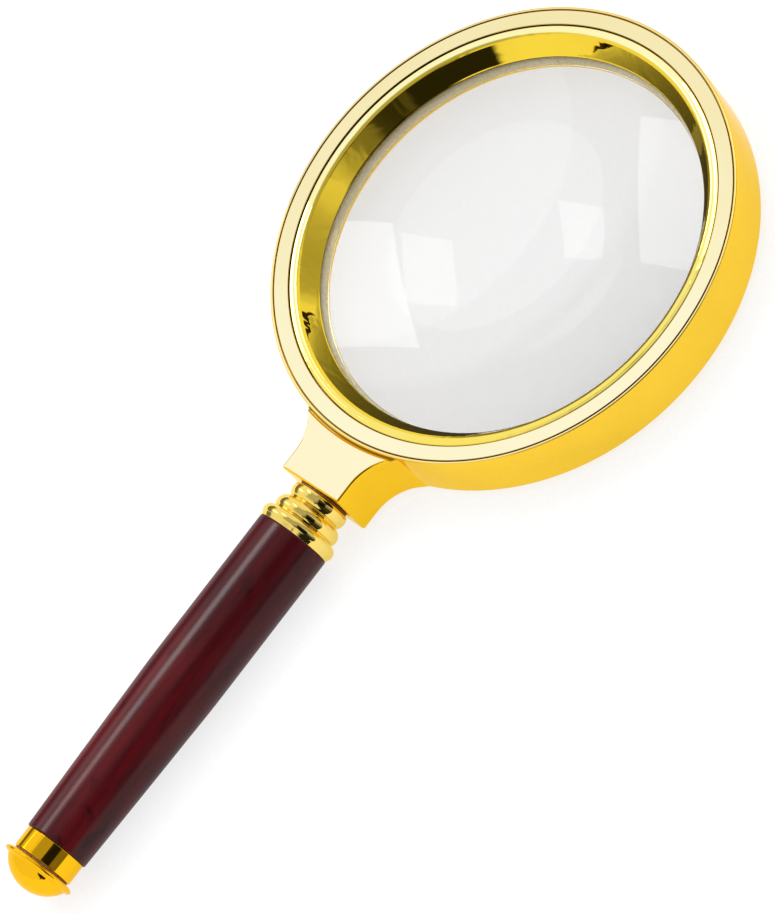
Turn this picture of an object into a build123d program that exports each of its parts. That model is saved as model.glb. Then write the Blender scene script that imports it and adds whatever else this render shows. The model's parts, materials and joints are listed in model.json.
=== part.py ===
from build123d import *
import os

# A hand magnifier lying on its back. Millimetres, +Z up out of the front of the lens, +Y from the
# handle towards the lens. The origin is under the middle of the whole object, at its lowest point.

# Rim
RIM_R = 54.5            # outer radius, at the front shoulder
RIM_BACK_R = 54.15      # outer radius where the wall turns into the back
RIM_DEPTH = 14.5        # from the face ring's front to the back face
RIM_BACK_ROUND = 2.0
RIM_SHOULDER = 0.5      # round on the front shoulder
SEAT_IN_R = 43.6        # clear radius of the rear lip
REAR_FLARE_R = 47.2     # radius where the rear flare meets the back face
REAR_LIP = 1.0          # thickness of the rear lip at its edge
RIM_FILL_R = 40.0       # blanks that take the rim's outline are filled in to this radius
OVERSHOOT = 1.0         # cutting shapes run this far past the surface that they cut

# Face ring, pressed into the front of the rim
FACE_OUT_R = 53.9
FACE_IN_R = 50.27
FACE_THICK = 1.5
FACE_GAP = 0.28         # open groove round its outside
FACE_GAP_DEPTH = 0.8
FACE_CHAMFER = 0.12

# Retaining ring, threaded into the rim; the lip's depths run back from the front plane
RING_THREAD_R = 48.6
RING_FLANGE_R = 50.12
RING_FLANGE_BACK = 1.9
RING_LIP_SIDE = 0.58    # depth where the flange's side turns into the lip
RING_LIP_ROUND = 0.5
RING_LIP_EDGE = (49.72, 0.22)   # radius and depth of the lip's outer edge, after its round
RING_LIP_CROWN = 0.08   # depth of its highest line
RING_LIP_INNER = (47.7, 0.5)
RING_THROAT = (45.1, 4.25)      # narrow end of the cone
RING_NOSE_R = 45.05
RING_NOSE_ROUND = 0.35
RING_BACK = 4.75        # depth of its rear end
THREAD_GAP = 0.05       # radial clearance of every plain stand-in thread
END_GAP = 0.1           # clearance behind the flange and the washer

# Lens
LENS_R = 46.0
LENS_CURVE_R = 232.3    # radius of both faces
LENS_EDGE = 2.6
LENS_TOP = 0.7          # depth of the front face's highest point
LENS_BORE_R = 46.15
LENS_WASHER_THICK = 0.25
LENS_WASHER_IN_R = 45.0
LENS_WASHER_OUT_R = 48.2
SEAT_RING_IN_R = 43.9
SEAT_RING_THICK = 0.8
TOUCH = 0.01            # the soft ring's cone stops this far short of the glass

# Neck block
NECK_END = 66.95        # distance of its lower face from the lens axis
NECK_HALF_W = 8.85
NECK_FLARE_R = 11.6
NECK_FLARE_START = 62.5
NECK_FLARE_REACH = 10.6 # length of the flare, towards the lens
NECK_TOP_DROP = 0.4
NECK_THICK = 13.1
NECK_ROUND = 0.45
NECK_GROOVE_R = 55.3
NECK_GROOVE_DEPTH = 0.7
NECK_GROOVE_SLOPE = 0.2
NECK_REACH = 50.0       # the blank starts this far from the lens axis, inside the rim

# Handle axis: lies at the rim's mid depth
ROD_R = 2.5
ROD_START = 59.4
ROD_END = 168.6
ROD_CHAMFER = 0.5
ROD_FREE = 0.1          # radial clearance where the rod only passes through
ROD_RELIEF = 1.5        # depth of the narrow hole below the insert
INSERT_R = 4.0
INSERT_START = 58.9
WASHER_GAP = 0.04       # running gap each side of the neck and cap washers
NECK_WASHER_R = 5.9
NECK_WASHER_THICK = 0.35

# Ferrule beads: distance from the lens axis and radius at each crest and at the coves between them
FERRULE_START = NECK_END + NECK_WASHER_THICK + 2 * WASHER_GAP
CRESTS = [(68.64, 6.785), (72.76, 7.77), (75.8, 9.03)]
COVES = [(70.6, 5.95), (74.2, 7.05)]
BEAD_EDGE = 76.46
CONE_START_R = 8.8      # short cone between the last bead and the grip
CONE_END_R = 8.45
CONE_STEP = 0.15
SPIGOT_R = 4.5
SPIGOT_LEN = 5.5

# Grip
GRIP_START = 77.53
GRIP_END = 159.35
GRIP_R = 8.5
GRIP_END_R = 7.45
GRIP_TAPER_START = 112.0
GRIP_ROUND = 0.35
GRIP_BELLY = 0.16       # how far the taper's middle swells out of a straight cone
GRIP_END_SLOPE = -0.04
GRIP_BORE_R = 2.7
GRIP_SOCKET_R = 4.75
GRIP_SOCKET_END = 88.0

# Nuts and washers on the rod
NUT_FLATS = 8.0
NUT_CHAMFER = 0.35
NUT_THICK = 4.0
THIN_NUT_THICK = 2.7
ROD_WASHER_R = 4.9
ROD_WASHER_THICK = 0.8
SPRING_R = 4.4
SPRING_THICK = 1.2
SPRING_SLOT = 0.9

# End collar and end cap
COLLAR_R = 7.115
COLLAR_CHAMFER = 0.2
COLLAR_END = 164.3
COLLAR_WEB = 1.2
COLLAR_BORE_R = 5.4
CAP_WASHER_IN_R = 5.5
CAP_WASHER_R = 6.7
CAP_WASHER_THICK = 0.3
CAP_FLANGE_R = 8.565
CAP_FLANGE_MID = 165.46
CAP_FLANGE_END = 166.24
CAP_NECK_R = 7.0
CAP_DOME_R = 7.375
CAP_TIP = 170.6
CAP_HOLLOW_R = 5.2
CAP_HOLLOW_END = 165.7
CAP_BORE_SPARE = 0.3    # the threaded bore runs this far past the rod
CAP_EDGE_BULGE = 0.34   # how far the flange's two faces swell out of a straight cone

# Row frame, worked out from the sizes above
LOWEST = RIM_DEPTH / 2 + CRESTS[-1][1]
FRONT_Z = LOWEST
AXIS_Z = FRONT_Z - RIM_DEPTH / 2
RIM_Y = (CAP_TIP - RIM_R) / 2


def profile_solid(face):
    """Revolves a face drawn with x = radius and y = height above the front plane about the lens axis."""
    upright = Plane.XZ * face
    turned = revolve(upright, Axis.Z)
    return Pos(0, RIM_Y, FRONT_Z) * turned


def polygon(points):
    """A face from corner points."""
    return make_face(Polyline(*points, close=True))


def handle_solid(face):
    """Revolves a face drawn with x = radius and y = distance from the lens axis about the handle axis."""
    turned = revolve(face, Axis.Y)
    along = Rot(0, 0, 180) * turned
    return Pos(0, RIM_Y, AXIS_Z) * along


def midway(first, last, out, along):
    """The point halfway between two profile points, moved outwards and along the handle."""
    return ((first[0] + last[0]) / 2 + out, (first[1] + last[1]) / 2 + along)


def handle_ring(outer_r, inner_r, start, end):
    """A plain ring or tube round the handle axis."""
    corners = [(inner_r, start), (outer_r, start), (outer_r, end), (inner_r, end)]
    return handle_solid(polygon(corners))


def lens_sag(radius):
    """How far a lens face has fallen away from its highest point at a radius."""
    return LENS_CURVE_R - (LENS_CURVE_R**2 - radius**2) ** 0.5


def lens_depths():
    """Depths of the lens edge's front and rear corners and of its rear face's lowest point."""
    edge_front = LENS_TOP + lens_sag(LENS_R)
    edge_back = edge_front + LENS_EDGE
    return edge_front, edge_back, edge_back + lens_sag(LENS_R)


EDGE_FRONT, EDGE_BACK, LENS_BOTTOM = lens_depths()
SEAT_DEPTH = EDGE_BACK + SEAT_RING_THICK
WASHER_STEP = RING_BACK + LENS_WASHER_THICK + END_GAP


def rim_outline_face():
    """The rim's outer outline, filled in towards the lens axis."""
    side_back = RIM_DEPTH - RIM_BACK_ROUND
    back_r = RIM_BACK_R - RIM_BACK_ROUND
    outline = [
        Line((RIM_FILL_R, 0), (RIM_R - RIM_SHOULDER, 0)),
        RadiusArc((RIM_R - RIM_SHOULDER, 0), (RIM_R, -RIM_SHOULDER), RIM_SHOULDER),
        Line((RIM_R, -RIM_SHOULDER), (RIM_BACK_R, -side_back)),
        RadiusArc((RIM_BACK_R, -side_back), (back_r, -RIM_DEPTH), RIM_BACK_ROUND),
        Line((back_r, -RIM_DEPTH), (RIM_FILL_R, -RIM_DEPTH)),
        Line((RIM_FILL_R, -RIM_DEPTH), (RIM_FILL_R, 0)),
    ]
    return make_face(outline)


def rim_ring():
    """The rim: an outer wall with a stepped inside for the face ring, thread, lens and rear lip."""
    bore_r = RING_THREAD_R + THREAD_GAP
    recess_r = RING_FLANGE_R + THREAD_GAP
    flange_floor = RING_FLANGE_BACK + END_GAP
    past_back = RIM_DEPTH + OVERSHOOT
    inside = [
        (0, OVERSHOOT),
        (FACE_OUT_R, OVERSHOOT),
        (FACE_OUT_R, -FACE_THICK),
        (recess_r, -FACE_THICK),
        (recess_r, -flange_floor),
        (bore_r, -flange_floor),
        (bore_r, -WASHER_STEP),
        (LENS_BORE_R, -WASHER_STEP),
        (LENS_BORE_R, -SEAT_DEPTH),
        (SEAT_IN_R, -SEAT_DEPTH),
        (SEAT_IN_R, -SEAT_DEPTH - REAR_LIP),
        (REAR_FLARE_R, -RIM_DEPTH),
        (REAR_FLARE_R, -past_back),
        (0, -past_back),
    ]
    return profile_solid(rim_outline_face() - polygon(inside))


def face_ring():
    """The flat front band, with a groove round its outside and lightly broken edges."""
    corners = [
        (FACE_IN_R, -FACE_THICK),
        (FACE_OUT_R, -FACE_THICK),
        (FACE_OUT_R, -FACE_GAP_DEPTH),
        (FACE_OUT_R - FACE_GAP, -FACE_GAP_DEPTH),
        (FACE_OUT_R - FACE_GAP, -FACE_CHAMFER),
        (FACE_OUT_R - FACE_GAP - FACE_CHAMFER, 0),
        (FACE_IN_R + FACE_CHAMFER, 0),
        (FACE_IN_R, -FACE_CHAMFER),
    ]
    return profile_solid(polygon(corners))


def retaining_ring():
    """The threaded inner ring: a rounded lip in front, then a conical wall down to a thin nose."""
    nose = (RING_NOSE_R, -RING_BACK)
    side = (RING_FLANGE_R, -RING_LIP_SIDE)
    edge = (RING_LIP_EDGE[0], -RING_LIP_EDGE[1])
    inner = (RING_LIP_INNER[0], -RING_LIP_INNER[1])
    throat = (RING_THROAT[0], -RING_THROAT[1])
    crown = ((edge[0] + inner[0]) / 2, -RING_LIP_CROWN)
    outline = [
        Line(nose, (RING_THREAD_R, -RING_BACK)),
        Line((RING_THREAD_R, -RING_BACK), (RING_THREAD_R, -RING_FLANGE_BACK)),
        Line((RING_THREAD_R, -RING_FLANGE_BACK), (RING_FLANGE_R, -RING_FLANGE_BACK)),
        Line((RING_FLANGE_R, -RING_FLANGE_BACK), side),
        RadiusArc(side, edge, -RING_LIP_ROUND),
        ThreePointArc(edge, crown, inner),
        Line(inner, throat),
        RadiusArc(throat, nose, RING_NOSE_ROUND),
    ]
    return profile_solid(make_face(outline))


def lens():
    """A biconvex lens: two equal spherical faces and a plain cylindrical edge."""
    outline = [
        ThreePointArc(
            (0, -LENS_TOP),
            (LENS_R / 2, -LENS_TOP - lens_sag(LENS_R / 2)),
            (LENS_R, -EDGE_FRONT),
        ),
        Line((LENS_R, -EDGE_FRONT), (LENS_R, -EDGE_BACK)),
        ThreePointArc(
            (LENS_R, -EDGE_BACK),
            (LENS_R / 2, -LENS_BOTTOM + lens_sag(LENS_R / 2)),
            (0, -LENS_BOTTOM),
        ),
        Line((0, -LENS_BOTTOM), (0, -LENS_TOP)),
    ]
    return profile_solid(make_face(outline))


def lens_seat_ring():
    """The soft ring behind the lens, coned on its front to fit the rear face."""
    inner_top = LENS_BOTTOM - lens_sag(SEAT_RING_IN_R) + TOUCH
    outer_top = LENS_BOTTOM - lens_sag(LENS_R) + TOUCH
    corners = [
        (SEAT_RING_IN_R, -SEAT_DEPTH),
        (LENS_R, -SEAT_DEPTH),
        (LENS_R, -outer_top),
        (SEAT_RING_IN_R, -inner_top),
    ]
    return profile_solid(polygon(corners))


def lens_washer():
    """The slip washer that the retaining ring turns against."""
    top = RING_BACK + WASHER_GAP
    bottom = top + LENS_WASHER_THICK
    corners = [
        (LENS_WASHER_IN_R, -bottom),
        (LENS_WASHER_OUT_R, -bottom),
        (LENS_WASHER_OUT_R, -top),
        (LENS_WASHER_IN_R, -top),
    ]
    return profile_solid(polygon(corners))


def neck_plan():
    """Half of the neck block seen from the front, with its concave flare; x is the half width."""
    centre_x = NECK_HALF_W + NECK_FLARE_R

    def on_flare(reach):
        return (centre_x - (NECK_FLARE_R**2 - reach**2) ** 0.5, NECK_FLARE_START - reach)

    start = on_flare(0)
    tip = on_flare(NECK_FLARE_REACH)
    outline = [
        Line((0, NECK_REACH), (0, NECK_END)),
        Line((0, NECK_END), (NECK_HALF_W, NECK_END)),
        Line((NECK_HALF_W, NECK_END), start),
        ThreePointArc(start, on_flare(NECK_FLARE_REACH / 2), tip),
        Line(tip, (tip[0], NECK_REACH)),
        Line((tip[0], NECK_REACH), (0, NECK_REACH)),
    ]
    return make_face(outline)


def neck_groove():
    """The ring that is cut out of the block's front beside the rim's wall."""
    inner = RIM_R - OVERSHOOT
    floor = -NECK_TOP_DROP - NECK_GROOVE_DEPTH
    corners = [
        (inner, 0),
        (NECK_GROOVE_R, 0),
        (NECK_GROOVE_R, -NECK_TOP_DROP),
        (NECK_GROOVE_R - NECK_GROOVE_SLOPE, floor),
        (inner, floor),
    ]
    return profile_solid(polygon(corners))


def neck_block():
    """The flared block between rim and handle, saddled to the rim and bored for its insert."""
    half = neck_plan()
    block = extrude(half + mirror(half, Plane.YZ), NECK_THICK)
    outer_edges = block.edges().filter_by(lambda edge: edge.center().Y > NECK_REACH + OVERSHOOT)
    block = Rot(0, 0, 180) * fillet(outer_edges, NECK_ROUND)
    block = Pos(0, RIM_Y, FRONT_Z - NECK_TOP_DROP - NECK_THICK) * block
    saddle = profile_solid(rim_outline_face())
    hole = handle_ring(INSERT_R, 0, INSERT_START, NECK_END + OVERSHOOT)
    relief = handle_ring(ROD_R + 2 * ROD_FREE, 0, INSERT_START - ROD_RELIEF, INSERT_START)
    return block - neck_groove() - saddle - hole - relief


def neck_insert():
    """The threaded bush pressed into the neck block."""
    return handle_ring(INSERT_R, ROD_R + THREAD_GAP, INSERT_START, NECK_END)


def neck_washer():
    """The thin washer between the neck block and the ferrule."""
    start = NECK_END + WASHER_GAP
    return handle_ring(NECK_WASHER_R, ROD_R + THREAD_GAP, start, start + NECK_WASHER_THICK)


def bead(crest, start_u, end_u, radius):
    """One bead's arc, from one cove to the next, as a circle with its top at the crest."""
    crest_u, crest_r = crest
    centre_r = crest_r - radius

    def on_bead(u):
        return (centre_r + (radius**2 - (u - crest_u) ** 2) ** 0.5, u)

    return ThreePointArc(on_bead(start_u), (crest_r, crest_u), on_bead(end_u)), on_bead


def bead_radius(crest, cove):
    """Radius of the circle through a cove with its top at a crest."""
    du = cove[0] - crest[0]
    dr = crest[1] - cove[1]
    return (du**2 + dr**2) / (2 * dr)


def ferrule():
    """Three beads that grow towards the grip, then a short cone and the spigot inside the grip."""
    radii = [
        bead_radius(CRESTS[0], COVES[0]),
        bead_radius(CRESTS[1], COVES[0]),
        bead_radius(CRESTS[2], COVES[1]),
    ]
    spans = [(FERRULE_START, COVES[0][0]), (COVES[0][0], COVES[1][0]), (COVES[1][0], BEAD_EDGE)]
    outline = []
    last = (ROD_R, FERRULE_START)
    for crest, span, radius in zip(CRESTS, spans, radii):
        arc, on_bead = bead(crest, span[0], span[1], radius)
        first = on_bead(span[0])
        if (first[0] - last[0]) ** 2 + (first[1] - last[1]) ** 2 > 1e-8:
            outline.append(Line(last, first))
        outline.append(arc)
        last = on_bead(span[1])
    spigot_end = GRIP_START + SPIGOT_LEN
    for corner in [
        (CONE_START_R, BEAD_EDGE + CONE_STEP),
        (CONE_END_R, GRIP_START),
        (SPIGOT_R, GRIP_START),
        (SPIGOT_R, spigot_end),
        (ROD_R, spigot_end),
        (ROD_R, FERRULE_START),
    ]:
        outline.append(Line(last, corner))
        last = corner
    return handle_solid(make_face(outline))


def tie_rod():
    """The threaded rod that runs from the neck block to the end cap, with chamfered ends."""
    chamfer_r = ROD_R - ROD_CHAMFER
    corners = [
        (0, ROD_START),
        (chamfer_r, ROD_START),
        (ROD_R, ROD_START + ROD_CHAMFER),
        (ROD_R, ROD_END - ROD_CHAMFER),
        (chamfer_r, ROD_END),
        (0, ROD_END),
    ]
    return handle_solid(polygon(corners))


def hex_nut(start, thickness):
    """A hexagon nut on the rod, with both faces' corners chamfered."""
    flat_r = NUT_FLATS / 2
    corner_r = NUT_FLATS / 3**0.5
    end = start + thickness
    corners = [
        (ROD_R, start),
        (flat_r, start),
        (corner_r, start + NUT_CHAMFER),
        (corner_r, end - NUT_CHAMFER),
        (flat_r, end),
        (ROD_R, end),
    ]
    blank = extrude(RegularPolygon(flat_r, 6, major_radius=False), thickness)
    placed = Pos(0, RIM_Y - start, AXIS_Z) * (Rot(90, 0, 0) * blank)
    return placed & handle_solid(polygon(corners))


def grip():
    """The turned grip: a straight front half, then a slow taper, bored for the rod and the spigot."""
    end_u = GRIP_END - GRIP_ROUND
    taper_start = (GRIP_R, GRIP_TAPER_START)
    taper_middle = ((GRIP_R + GRIP_END_R) / 2 + GRIP_BELLY, (GRIP_TAPER_START + GRIP_END) / 2)
    taper_end = (GRIP_END_R, end_u)
    outline = [
        Line((GRIP_BORE_R, GRIP_SOCKET_END), (GRIP_SOCKET_R, GRIP_SOCKET_END)),
        Line((GRIP_SOCKET_R, GRIP_SOCKET_END), (GRIP_SOCKET_R, GRIP_START)),
        Line((GRIP_SOCKET_R, GRIP_START), (GRIP_R - GRIP_ROUND, GRIP_START)),
        RadiusArc((GRIP_R - GRIP_ROUND, GRIP_START), (GRIP_R, GRIP_START + GRIP_ROUND), -GRIP_ROUND),
        Line((GRIP_R, GRIP_START + GRIP_ROUND), taper_start),
        Spline(taper_start, taper_middle, taper_end, tangents=[(0, 1), (GRIP_END_SLOPE, 1)]),
        RadiusArc(taper_end, (GRIP_END_R - GRIP_ROUND, GRIP_END), -GRIP_ROUND),
        Line((GRIP_END_R - GRIP_ROUND, GRIP_END), (GRIP_BORE_R, GRIP_END)),
        Line((GRIP_BORE_R, GRIP_END), (GRIP_BORE_R, GRIP_SOCKET_END)),
    ]
    return handle_solid(make_face(outline))


def end_collar():
    """The band below the grip: a tube with a web at the grip's end for the rod nut to pull on."""
    web_end = GRIP_END + COLLAR_WEB
    hole_r = ROD_R + ROD_FREE
    corners = [
        (hole_r, GRIP_END),
        (COLLAR_R - COLLAR_CHAMFER, GRIP_END),
        (COLLAR_R, GRIP_END + COLLAR_CHAMFER),
        (COLLAR_R, COLLAR_END - COLLAR_CHAMFER),
        (COLLAR_R - COLLAR_CHAMFER, COLLAR_END),
        (COLLAR_BORE_R, COLLAR_END),
        (COLLAR_BORE_R, web_end),
        (hole_r, web_end),
    ]
    return handle_solid(polygon(corners))


def rod_washer():
    """The plain washer on the collar's web."""
    start = GRIP_END + COLLAR_WEB
    return handle_ring(ROD_WASHER_R, ROD_R, start, start + ROD_WASHER_THICK)


def spring_washer():
    """The split spring washer under the rod nut."""
    start = GRIP_END + COLLAR_WEB + ROD_WASHER_THICK
    ring = handle_ring(SPRING_R, ROD_R, start, start + SPRING_THICK)
    slot = Box(SPRING_SLOT, 3 * SPRING_THICK, 2 * SPRING_R)
    slot_place = Pos(0, RIM_Y - start - SPRING_THICK / 2, AXIS_Z + SPRING_R)
    return ring - slot_place * slot


def rod_nut():
    """The thin nut that tensions the rod."""
    start = GRIP_END + COLLAR_WEB + ROD_WASHER_THICK + SPRING_THICK
    return hex_nut(start, THIN_NUT_THICK)


def ferrule_nut():
    """The nut that locks the ferrule on the rod, inside the grip's socket."""
    return hex_nut(GRIP_START + SPIGOT_LEN, NUT_THICK)


def cap_washer():
    """The thin washer between the end collar and the end cap."""
    start = COLLAR_END + WASHER_GAP
    return handle_ring(CAP_WASHER_R, CAP_WASHER_IN_R, start, start + CAP_WASHER_THICK)


def end_cap():
    """The end cap: a sharp rounded flange and a shallow dome, hollowed for the nut and threaded."""
    start = COLLAR_END + 2 * WASHER_GAP + CAP_WASHER_THICK
    bore_r = ROD_R + THREAD_GAP
    bore_end = ROD_END + CAP_BORE_SPARE
    rise = CAP_TIP - CAP_FLANGE_END
    dome_curve = (CAP_DOME_R**2 + rise**2) / (2 * rise)
    dome_u = CAP_TIP - dome_curve
    side_r = dome_curve / 2
    side_u = dome_u + (dome_curve**2 - side_r**2) ** 0.5
    neck = (CAP_NECK_R, start)
    edge = (CAP_FLANGE_R, CAP_FLANGE_MID)
    foot = (CAP_DOME_R, CAP_FLANGE_END)
    outline = [
        Line((bore_r, CAP_HOLLOW_END), (CAP_HOLLOW_R, CAP_HOLLOW_END)),
        Line((CAP_HOLLOW_R, CAP_HOLLOW_END), (CAP_HOLLOW_R, start)),
        Line((CAP_HOLLOW_R, start), neck),
        ThreePointArc(neck, midway(neck, edge, CAP_EDGE_BULGE, -CAP_EDGE_BULGE / 2), edge),
        ThreePointArc(edge, midway(edge, foot, CAP_EDGE_BULGE / 2, CAP_EDGE_BULGE / 3), foot),
        ThreePointArc(foot, (side_r, side_u), (0, CAP_TIP)),
        Line((0, CAP_TIP), (0, bore_end)),
        Line((0, bore_end), (bore_r, bore_end)),
        Line((bore_r, bore_end), (bore_r, CAP_HOLLOW_END)),
    ]
    return handle_solid(make_face(outline))


PARTS = {
    "rim_ring": rim_ring,
    "neck_block": neck_block,
    "face_ring": face_ring,
    "retaining_ring": retaining_ring,
    "lens": lens,
    "lens_seat_ring": lens_seat_ring,
    "lens_washer": lens_washer,
    "neck_insert": neck_insert,
    "neck_washer": neck_washer,
    "ferrule": ferrule,
    "tie_rod": tie_rod,
    "ferrule_nut": ferrule_nut,
    "grip": grip,
    "end_collar": end_collar,
    "rod_washer": rod_washer,
    "spring_washer": spring_washer,
    "rod_nut": rod_nut,
    "cap_washer": cap_washer,
    "end_cap": end_cap,
}

os.makedirs("parts", exist_ok=True)
for name, make in PARTS.items():
    export_step(make(), f"parts/{name}.step")
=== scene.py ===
"""A hand magnifier on a white table: plated rim, clear lens, beaded ferrule and lacquered grip."""

import json
import logging
import math
from dataclasses import dataclass
from enum import Enum
from typing import Any, Callable, Iterable, Sequence

import bmesh
import bpy
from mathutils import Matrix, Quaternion, Vector


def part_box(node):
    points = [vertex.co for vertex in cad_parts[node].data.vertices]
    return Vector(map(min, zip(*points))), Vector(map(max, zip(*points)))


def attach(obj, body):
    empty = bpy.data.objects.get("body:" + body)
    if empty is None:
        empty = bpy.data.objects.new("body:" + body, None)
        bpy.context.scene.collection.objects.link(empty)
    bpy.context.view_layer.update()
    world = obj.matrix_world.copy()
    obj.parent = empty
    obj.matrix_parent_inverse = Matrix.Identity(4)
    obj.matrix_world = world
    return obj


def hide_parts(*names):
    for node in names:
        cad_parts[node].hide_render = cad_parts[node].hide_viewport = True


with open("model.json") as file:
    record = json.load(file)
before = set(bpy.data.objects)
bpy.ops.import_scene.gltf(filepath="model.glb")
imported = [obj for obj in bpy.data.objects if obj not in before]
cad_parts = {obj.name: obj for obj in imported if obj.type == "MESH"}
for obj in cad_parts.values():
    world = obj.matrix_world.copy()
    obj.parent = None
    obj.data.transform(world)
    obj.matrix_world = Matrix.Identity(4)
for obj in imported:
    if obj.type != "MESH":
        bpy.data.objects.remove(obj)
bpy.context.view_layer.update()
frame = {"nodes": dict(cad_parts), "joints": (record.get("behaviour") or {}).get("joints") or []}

MM = 0.001
LOG = logging.getLogger("magnifier")

UP = (0.0, 0.0, 1.0)
BEAD_YELLOW = (0.93, 0.70, 0.17)
CAP_YELLOW = (0.98, 0.53, 0.010)

Point = tuple[float, float]
Shape = Callable[[float, float, float], float]


# Where things are ---------------------------------------------------------------------------


class Axis(Enum):
    """The two centre lines that the turned pieces share."""

    LENS = "lens"
    HANDLE = "handle"


@dataclass(frozen=True)
class Datum:
    """The lens axis, the front plane and the handle axis, in metres in the CAD frame."""

    rim_y: float
    front_z: float
    handle_z: float

    @classmethod
    def from_joints(cls, joints: Iterable[dict[str, Any]]) -> "Datum":
        """Reads both axes from the points that the screw joints turn about.

        Args:
            joints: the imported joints.

        Returns:
            The datum that every piece is placed by.
        """
        points = {joint["name"]: joint.get("pos_m") for joint in joints}
        _, rim_y, front_z = points["retainer_turn"]
        _, _, handle_z = points["handle_turn"]
        return cls(rim_y, front_z, handle_z)

    def place(self, axis: Axis, radius: float, along: float, angle: float) -> Vector:
        """Puts a point of a turned section into the CAD frame.

        Args:
            axis: the centre line that the piece is turned about.
            radius: distance from that line, in millimetres.
            along: depth below the front plane, or distance from the lens axis down the handle.
            angle: turn about the line, in radians.

        Returns:
            The point in metres.
        """
        across = radius * MM * math.cos(angle)
        up = radius * MM * math.sin(angle)
        if axis is Axis.LENS:
            return Vector((across, self.rim_y + up, self.front_z - along * MM))
        return Vector((across, self.rim_y - along * MM, self.handle_z + up))


# Turned shapes ------------------------------------------------------------------------------

TINY = 1e-6  # millimetres
STRAIGHT = 0.02  # radians of turn that need no rounding
ROUND_SHARE = 0.48  # how much of an edge one corner's round may use


@dataclass(frozen=True)
class Corner:
    """One corner of a turned section, in millimetres, with the round worked onto it."""

    radius: float
    along: float
    rounding: float = 0.0


def rounded_corner(
    before: Corner,
    corner: Corner,
    after: Corner,
    steps: int,
    hold: float,
) -> list[Point]:
    """Works one corner of a section into an arc with a holding point at each end.

    Args:
        before: the corner it comes from.
        corner: the corner to round.
        after: the corner it goes to.
        steps: how many spans the arc has.
        hold: distance of the holding points from the arc's ends.

    Returns:
        The arc's points with the holding points, or the bare corner where it has no round.
    """
    here = Vector((corner.radius, corner.along))
    back = Vector((before.radius, before.along)) - here
    ahead = Vector((after.radius, after.along)) - here
    if corner.rounding <= 0 or min(back.length, ahead.length) < TINY:
        return [tuple(here)]
    turn = math.pi - back.angle(ahead)
    if turn < STRAIGHT:
        return [tuple(here)]
    room = ROUND_SHARE * min(back.length, ahead.length)
    reach = min(corner.rounding * math.tan(turn / 2), room)
    start = here + back.normalized() * reach
    end = here + ahead.normalized() * reach
    radius = reach / math.tan(turn / 2)
    inward = (back.normalized() + ahead.normalized()).normalized()
    middle = here + inward * (radius / math.cos(turn / 2))
    first = start - middle
    last = end - middle
    points = []
    if reach + hold < room:
        points.append(tuple(start + back.normalized() * hold))
    for step in range(steps + 1):
        share = step / steps
        low, high = math.sin((1 - share) * turn), math.sin(share * turn)
        points.append(tuple(middle + (first * low + last * high) / math.sin(turn)))
    if reach + hold < room:
        points.append(tuple(end + ahead.normalized() * hold))
    return points


@dataclass
class Section:
    """A turned piece's outline, closed on itself or ending on its centre line."""

    corners: list[Corner]
    closed: bool = True
    steps: int = 6
    hold: float = 0.06

    def points(self) -> list[Point]:
        """Rounds every corner.

        Returns:
            The outline's points.
        """
        count = len(self.corners)
        found: list[Point] = []
        for index, corner in enumerate(self.corners):
            at_end = index in (0, count - 1)
            if at_end and not self.closed:
                found.append((corner.radius, corner.along))
                continue
            before = self.corners[index - 1]
            after = self.corners[(index + 1) % count]
            found += rounded_corner(before, corner, after, self.steps, self.hold)
        return found


def run(start: Point, end: Point, spacing: float) -> list[Corner]:
    """Divides a straight stretch of a section into even rows.

    Args:
        start: first point, in millimetres.
        end: last point.
        spacing: the longest row allowed.

    Returns:
        The corners of the rows, ends included.
    """
    length = math.dist(start, end)
    count = max(1, math.ceil(length / spacing))
    rows = []
    for step in range(count + 1):
        share = step / count
        radius = start[0] + (end[0] - start[0]) * share
        rows.append(Corner(radius, start[1] + (end[1] - start[1]) * share))
    return rows


def arc(centre: Point, radius: float, start_deg: float, end_deg: float, steps: int) -> list[Corner]:
    """Rows along a circular arc of a section.

    Args:
        centre: the circle's centre as (radius, along), in millimetres.
        radius: the circle's radius.
        start_deg: direction of the first point, from the outward direction towards growing along.
        end_deg: direction of the last point.
        steps: how many spans.

    Returns:
        The corners along the arc.
    """
    rows = []
    for step in range(steps + 1):
        angle = math.radians(start_deg + (end_deg - start_deg) * step / steps)
        across, along = radius * math.cos(angle), radius * math.sin(angle)
        rows.append(Corner(centre[0] + across, centre[1] + along))
    return rows


@dataclass(frozen=True)
class Thread:
    """A helical screw thread cut into part of a turned surface."""

    pitch: float
    depth: float
    start: float
    end: float
    crest: float
    inside: bool = False
    runout: float = 0.6
    steepness: float = 2.4

    def shape(self, radius: float, along: float, angle: float) -> float:
        """Moves a point of the plain surface onto the thread.

        Args:
            radius: the plain surface's radius, in millimetres.
            along: place along the axis.
            angle: turn about the axis.

        Returns:
            The radius with the thread's groove cut in.
        """
        if abs(radius - self.crest) > 100 * TINY or not self.start <= along <= self.end:
            return radius
        edge = min(along - self.start, self.end - along, self.runout) / self.runout
        phase = (along / self.pitch - angle / math.tau) % 1.0
        groove = max(0.0, 1.0 - abs(phase - 0.5) * self.steepness)
        sign = 1.0 if self.inside else -1.0
        return radius + sign * self.depth * edge * groove


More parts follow.
